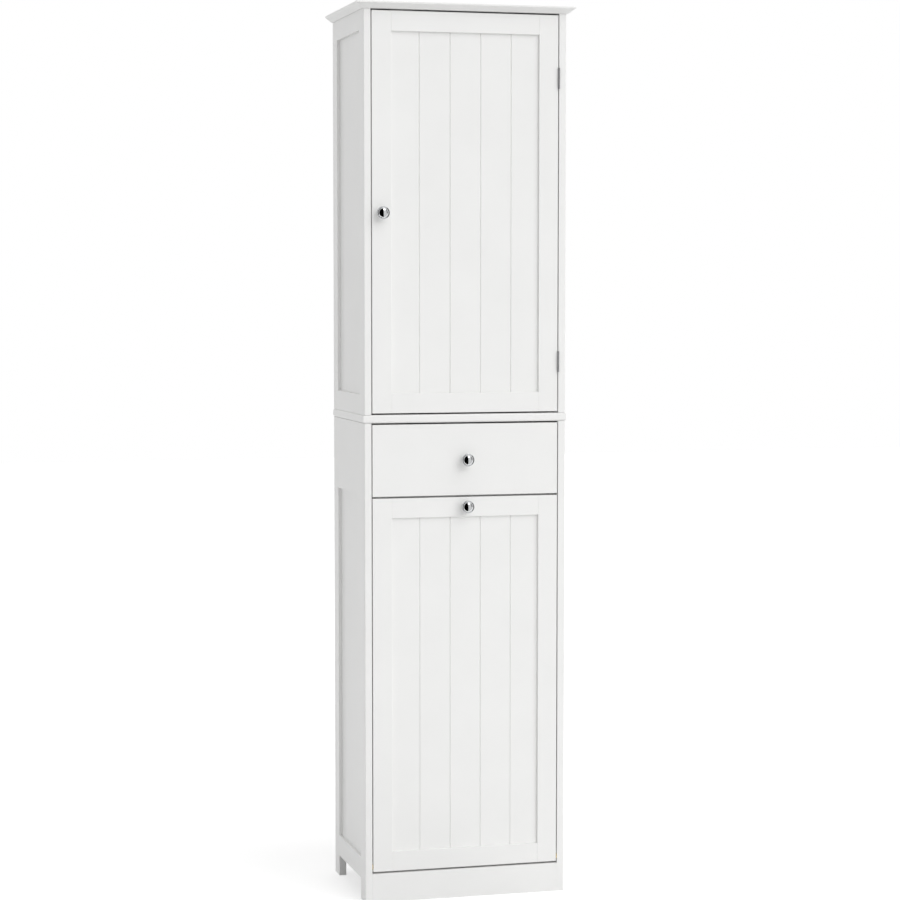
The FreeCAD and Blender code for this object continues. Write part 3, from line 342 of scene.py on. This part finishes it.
def powder_coated(name, slot):
    material, tree, shader, color = new_material(name, slot, 0.48)
    tint(tree, noise(tree, 30, 2), shade(color, 0.98), color, shader.inputs["Base Color"])
    bump(tree, shader, [(noise(tree, 2300, 2), 0.00009)], 0.5)
    return material


def moulded(name, slot, roughness):
    material, tree, shader, color = new_material(name, slot, roughness)
    tint(tree, noise(tree, 80, 2), shade(color, 0.975), color, shader.inputs["Base Color"])
    vary(tree, noise(tree, 300, 2), roughness - 0.05, roughness + 0.06, shader.inputs["Roughness"])
    bump(tree, shader, [(noise(tree, 3500, 2), 0.00003)], 0.4)
    return material


def grained(name, slot):
    """Beech rod: a fine grain along X."""
    material, tree, shader, color = new_material(name, slot, 0.6)
    grain = noise(tree, 500, 4, (0.06, 1, 1))
    tint(tree, grain, shade(color, 0.8), color, shader.inputs["Base Color"])
    bump(tree, shader, [(grain, 0.0001)], 0.4)
    return material


def woven(name, slot):
    """Plain weave cotton: upright and level threads 0.7 mm apart on every wall, and slubs."""
    material, tree, shader, color = new_material(name, slot, 0.92)
    shader.inputs["Sheen Weight"].default_value = 0.25
    shader.inputs["Sheen Roughness"].default_value = 0.5
    place = add(tree, "TexCoord")
    threads = []
    for bands, turn, scale in (("X", 45, 636.0), ("Z", 0, 450.0)):
        mapping = add(tree, "Mapping", Rotation=(0, 0, math.radians(turn)))
        wave = add(tree, "TexWave", Scale=scale, Distortion=0.6, Detail=1.0)
        wave.bands_direction = bands
        tree.links.new(place.outputs["Object"], mapping.inputs["Vector"])
        tree.links.new(mapping.outputs[0], wave.inputs["Vector"])
        threads.append(wave.outputs["Fac"])
    weave = math_of(tree, "MAXIMUM", *threads)
    tint(tree, noise(tree, 160, 4, (1, 1, 3)), shade(color, 0.93), color,
         shader.inputs["Base Color"])
    bump(tree, shader, [(weave, 0.00025), (noise(tree, 90, 3), 0.0006)], 0.5)
    return material


MATERIALS = {
    "paint": painted("satin_paint", "paint", 0.36),
    "chrome": polished("polished_chrome", "chrome"),
    "steel": plated("nickel_plate", "steel", 0.3),
    "zinc": plated("zinc_plate", "zinc", 0.36),
    "brass": plated("turned_brass", "brass", 0.28),
    "wire": powder_coated("powder_coat", "wire"),
    "cloth": woven("cotton", "cloth"),
    "dowel": grained("beech", "dowel"),
    "roller": moulded("nylon", "roller", 0.45),
    "catch": moulded("moulded_plastic", "catch", 0.42),
}


def dress_frame():
    for part in frame["record"]["subparts"]:
        node = nodes[part["node"]]
        node.data.materials.clear()
        node.data.materials.append(MATERIALS[part["material_slot"]])


# ---- mesh helpers ----


def mesh_object(name, points, faces, slot):
    """A smooth mesh from points in mm."""
    mesh = bpy.data.meshes.new(name)
    mesh.from_pydata([Vector(p) * MM for p in points], [], faces)
    mesh.materials.append(MATERIALS[slot])
    mesh.validate()
    mesh.shade_smooth()
    piece = link_new(name, mesh)
    return piece


def smooth_line(points, steps):
    """A Catmull-Rom line through the points, with that many steps between two of them."""
    line = []
    ends = [points[0]] + list(points) + [points[-1]]
    for index in range(1, len(ends) - 2):
        a, b, c, d = (Vector(ends[index + k]) for k in (-1, 0, 1, 2))
        for step in range(steps):
            t = step / steps
            line.append(0.5 * ((2 * b) + (c - a) * t + (2 * a - 5 * b + 4 * c - d) * t * t
                               + (3 * b - a - 3 * c + d) * t ** 3))
    line.append(Vector(points[-1]))
    return line


# ---- knobs ----

# radius and height above the front, mm: foot, neck, steep rim, the shallow dish inside the rim
# and the dome
KNOB_PROFILE = [(8.1, 0), (8.5, 0.5), (8.3, 1.3), (7.4, 1.9), (6.3, 2.5), (5.5, 4.2), (5.1, 7.0),
                (5.4, 9.4), (6.8, 11.4), (9.6, 12.9), (11.7, 14.1), (12.4, 15.2), (12.55, 16.2),
                (12.45, 17.5), (12.3, 18.2), (12.05, 18.42), (11.65, 18.4), (11.25, 18.34),
                (10.85, 18.27), (10.45, 18.2), (10.25, 18.2), (10.1, 18.5), (9.95, 19.3),
                (9.4, 20.4), (8.3, 21.7), (6.8, 22.85), (4.7, 24.0), (2.4, 24.75), (0.6, 25.0)]
KNOB_REACH = KNOB_PROFILE[-1][1]
KNOB_TURNS = 72
KNOB_STEPS = 3


def make_knob(name, body):
    """A turned and plated knob on the front face, round an axis along Y."""
    low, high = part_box(name)
    centre = (low + high) / 2 / MM
    base = high.y / MM
    turns = KNOB_TURNS
    profile = smooth_line([Vector((r, h, 0)) for r, h in KNOB_PROFILE], KNOB_STEPS)
    points, faces = [], []
    for point in profile:
        for turn in range(turns):
            angle = 2 * math.pi * turn / turns
            points.append((centre.x + point.x * math.cos(angle), base - point.y,
                           centre.z + point.x * math.sin(angle)))
    for ring in range(len(profile) - 1):
        for turn in range(turns):
            a, b = ring * turns + turn, ring * turns + (turn + 1) % turns
            faces.append((a, b, b + turns, a + turns))
    last = (len(profile) - 1) * turns
    points.append((centre.x, base - KNOB_REACH, centre.z))
    faces += [(last + t, last + (t + 1) % turns, len(points) - 1) for t in range(turns)]
    faces.append(tuple(reversed(range(turns))))
    knob = mesh_object("turned_" + name, points, faces, "chrome")
    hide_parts(name)
    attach(knob, body)


# ---- the hung bag ----

# half width, front and rear of the bag's walls, and its corner radii, mm
BAG_HALF, BAG_FRONT, BAG_REAR = 146.7, -100.0, 81.2
FRONT_RADIUS, REAR_RADIUS = 12.0, 21.7
# height of the wire and of the bag's foot, width of the hem, radii of the wires, cloth, mm
WIRE_Z, BAG_FOOT, HEM = 640.0, 134.0, 34.0
SIDE_WIRE, FRONT_WIRE = 3.3, 3.0
CLOTH = 0.9
# rows of the bag's mesh: down the inner flap, over the wire, down the wall, and into the base
FLAP_ROWS, OVER_ROWS, WALL_ROWS, BASE_ROWS = 5, 9, 52, 8
PITCH_ROUND = 5.0       # between two points round the bag, mm
# the cloth is folded over the wire where its place on the wall, 0 at the corners and 1 in the
# middle, is above this
FLAP_FROM = 0.2
# stitches: their heights above the hem's edge, and one stitch as (place along it, radius), mm
SEAMS = (5.0, 7.6)
STITCH = ((-1.7, 0.08), (-1.2, 0.3), (0, 0.36), (1.2, 0.3), (1.7, 0.08))
STITCH_SIDES = 6


def inward(edge):
    """Along Y, from the front or the rear wall to the bag's middle."""
    return 1 if edge < 0 else -1


def wire_radius(out):
    return FRONT_WIRE if out.y < -0.7 else SIDE_WIRE


def bag_outline():
    """Points round the walls, each with its outward direction and its place on its own wall."""
    corners = [(-1, BAG_FRONT, FRONT_RADIUS, 180), (1, BAG_FRONT, FRONT_RADIUS, 270),
               (1, BAG_REAR, REAR_RADIUS, 0), (-1, BAG_REAR, REAR_RADIUS, 90)]
    stations = []
    for index, (side, edge, radius, start) in enumerate(corners):
        centre = Vector((side * (BAG_HALF - radius), edge + inward(edge) * radius))
        steps = max(5, int(radius * math.pi / 2 / PITCH_ROUND) + 2)
        for step in range(steps + 1):
            angle = math.radians(start + 90 * step / steps)
            out = Vector((math.cos(angle), math.sin(angle)))
            stations.append((centre + radius * out, out, 0.0))
        next_side, next_edge, next_radius, _ = corners[(index + 1) % 4]
        reach = Vector((next_side * (BAG_HALF - next_radius),
                        next_edge + inward(next_edge) * next_radius))
        first = centre + radius * out
        last = reach + next_radius * out
        steps = int((last - first).length / PITCH_ROUND)
        for step in range(1, steps):
            share = step / steps
            stations.append((first.lerp(last, share), out, math.sin(math.pi * share)))
    return stations


def fold_depth(around, down):
    """How far the cloth stands off its flat wall: long soft folds that deepen downwards."""
    drop = min(1.0, down / 420.0)
    waves = (3.4 * math.sin(7 * around + 0.8) + 2.4 * math.sin(13 * around + 2.1 + 1.2 * drop)
             + 1.3 * math.sin(23 * around + 4.0 - 2.0 * drop))
    return (waves - 2.0) * drop ** 1.2


def bag_column(around, out, middle):
    """One line of cloth from the flap's edge to the foot: (outwards, z) in mm."""
    grip = wire_radius(out)
    column = [(2 * grip + 0.25 * math.sin(9 * around), WIRE_Z - HEM * (1 - k / FLAP_ROWS))
              for k in range(FLAP_ROWS)]
    for k in range(OVER_ROWS + 1):
        angle = math.pi * k / OVER_ROWS
        column.append((grip + grip * math.cos(angle), WIRE_Z + grip * math.sin(angle)))
    for k in range(1, WALL_ROWS + 1):
        share = k / WALL_ROWS
        down = share * (WIRE_Z - BAG_FOOT)
        slack = 5.5 * middle * math.sin(math.pi * min(1.0, share * 1.05))
        tuck = 3.5 * max(0.0, share - 0.93) / 0.07
        lift = (1 - middle) * 5.0 * share ** 6
        folds = fold_depth(around, down) * (0.6 if out.y < -0.5 else 1.0)
        column.append((folds - slack - tuck, WIRE_Z - down + lift))
    return column


def close_base(points, faces, rim):
    """Rings of cloth from the walls' foot in to the middle of the base, which sags a little."""
    count = len(rim)
    edges = [Vector(points[index]) for index in rim]
    centre = Vector((0, (BAG_FRONT + BAG_REAR) / 2, BAG_FOOT - 3.0))
    for ring in range(1, BASE_ROWS):
        share = ring / BASE_ROWS
        start = len(points)
        for edge in edges:
            spot = edge.lerp(centre, share)
            spot.z = edge.z * (1 - share) ** 2 + centre.z * (1 - (1 - share) ** 2)
            spot.z += 1.2 * math.sin(5 * spot.x / 60) * math.sin(4 * spot.y / 45) * share
            points.append(spot)
        here = [start + index for index in range(count)]
        faces += [(rim[i], rim[(i + 1) % count], here[(i + 1) % count], here[i])
                  for i in range(count)]
        rim = here
    points.append(centre)
    faces += [(rim[i], rim[(i + 1) % count], len(points) - 1) for i in range(count)]


def thicken(bag):
    """Drops unused points, turns the faces outwards and gives the cloth its thickness."""
    mesh = bmesh.new()
    mesh.from_mesh(bag.data)
    loose = [v for v in mesh.verts if not v.link_faces]
    bmesh.ops.delete(mesh, geom=loose, context="VERTS")
    bmesh.ops.recalc_face_normals(mesh, faces=mesh.faces)
    mesh.to_mesh(bag.data)
    mesh.free()
    thick = bag.modifiers.new("cloth", "SOLIDIFY")
    thick.thickness, thick.offset = CLOTH * MM, 0.0
    bpy.context.view_layer.objects.active = bag
    bpy.ops.object.modifier_apply(modifier=thick.name)
    bag.data.shade_smooth()


def make_bag():
    """A limp cotton pouch, its top folded over the wires and sewn down, cut away at the corners."""
    stations = bag_outline()
    count = len(stations)
    points = []
    for index, (place, out, middle) in enumerate(stations):
        column = bag_column(2 * math.pi * index / count, out, middle)
        points += [(place.x + out.x * u, place.y + out.y * u, z) for u, z in column]
    flap = [middle > FLAP_FROM for _, _, middle in stations]
    rows = len(column)
    faces = []
    for index in range(count):
        after = (index + 1) % count
        first = 0 if flap[index] and flap[after] else FLAP_ROWS + OVER_ROWS
        for row in range(first, rows - 1):
            a, b = index * rows + row, after * rows + row
            faces.append((a, b, b + 1, a + 1))
    close_base(points, faces, [index * rows + rows - 1 for index in range(count)])
    bag = mesh_object("cotton_bag", points, faces, "cloth")
    thicken(bag)

    stitches = bag_stitches(stations, flap)
    stitches.parent = bag
    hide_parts("laundry_bag")
    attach(bag, "hamper")


def bag_stitches(stations, flap):
    """Two rows of thread along the hem, on its outer face."""
    points, faces = [], []
    sides = STITCH_SIDES
    for rise in SEAMS:
        for index, (place, out, _) in enumerate(stations):
            after = (index + 1) % len(stations)
            if not (flap[index] and flap[after]) or out != stations[after][1]:
                continue
            along = Vector((-out.y, out.x, 0))
            away = Vector((out.x, out.y, 0))
            middle = (Vector((place.x, place.y, WIRE_Z - HEM + rise))
                      + away * (2 * wire_radius(out) + CLOTH / 2))
            start = len(points)
            for reach, radius in STITCH:
                for turn in range(sides):
                    angle = 2 * math.pi * turn / sides
                    points.append(middle + along * reach + away * radius * math.cos(angle)
                                  + Vector((0, 0, radius * math.sin(angle))))
            for ring in range(len(STITCH) - 1):
                for turn in range(sides):
                    a = start + ring * sides + turn
                    b = start + ring * sides + (turn + 1) % sides
                    faces.append((a, b, b + sides, a + sides))
    return mesh_object("bag_stitches", points, faces, "cloth")


make_camera()
make_world()
make_floor()
make_key()
make_cards()
dress_frame()
make_knob("door_knob", "door")
make_knob("drawer_knob", "drawer")
make_knob("hamper_knob", "hamper")
make_bag()
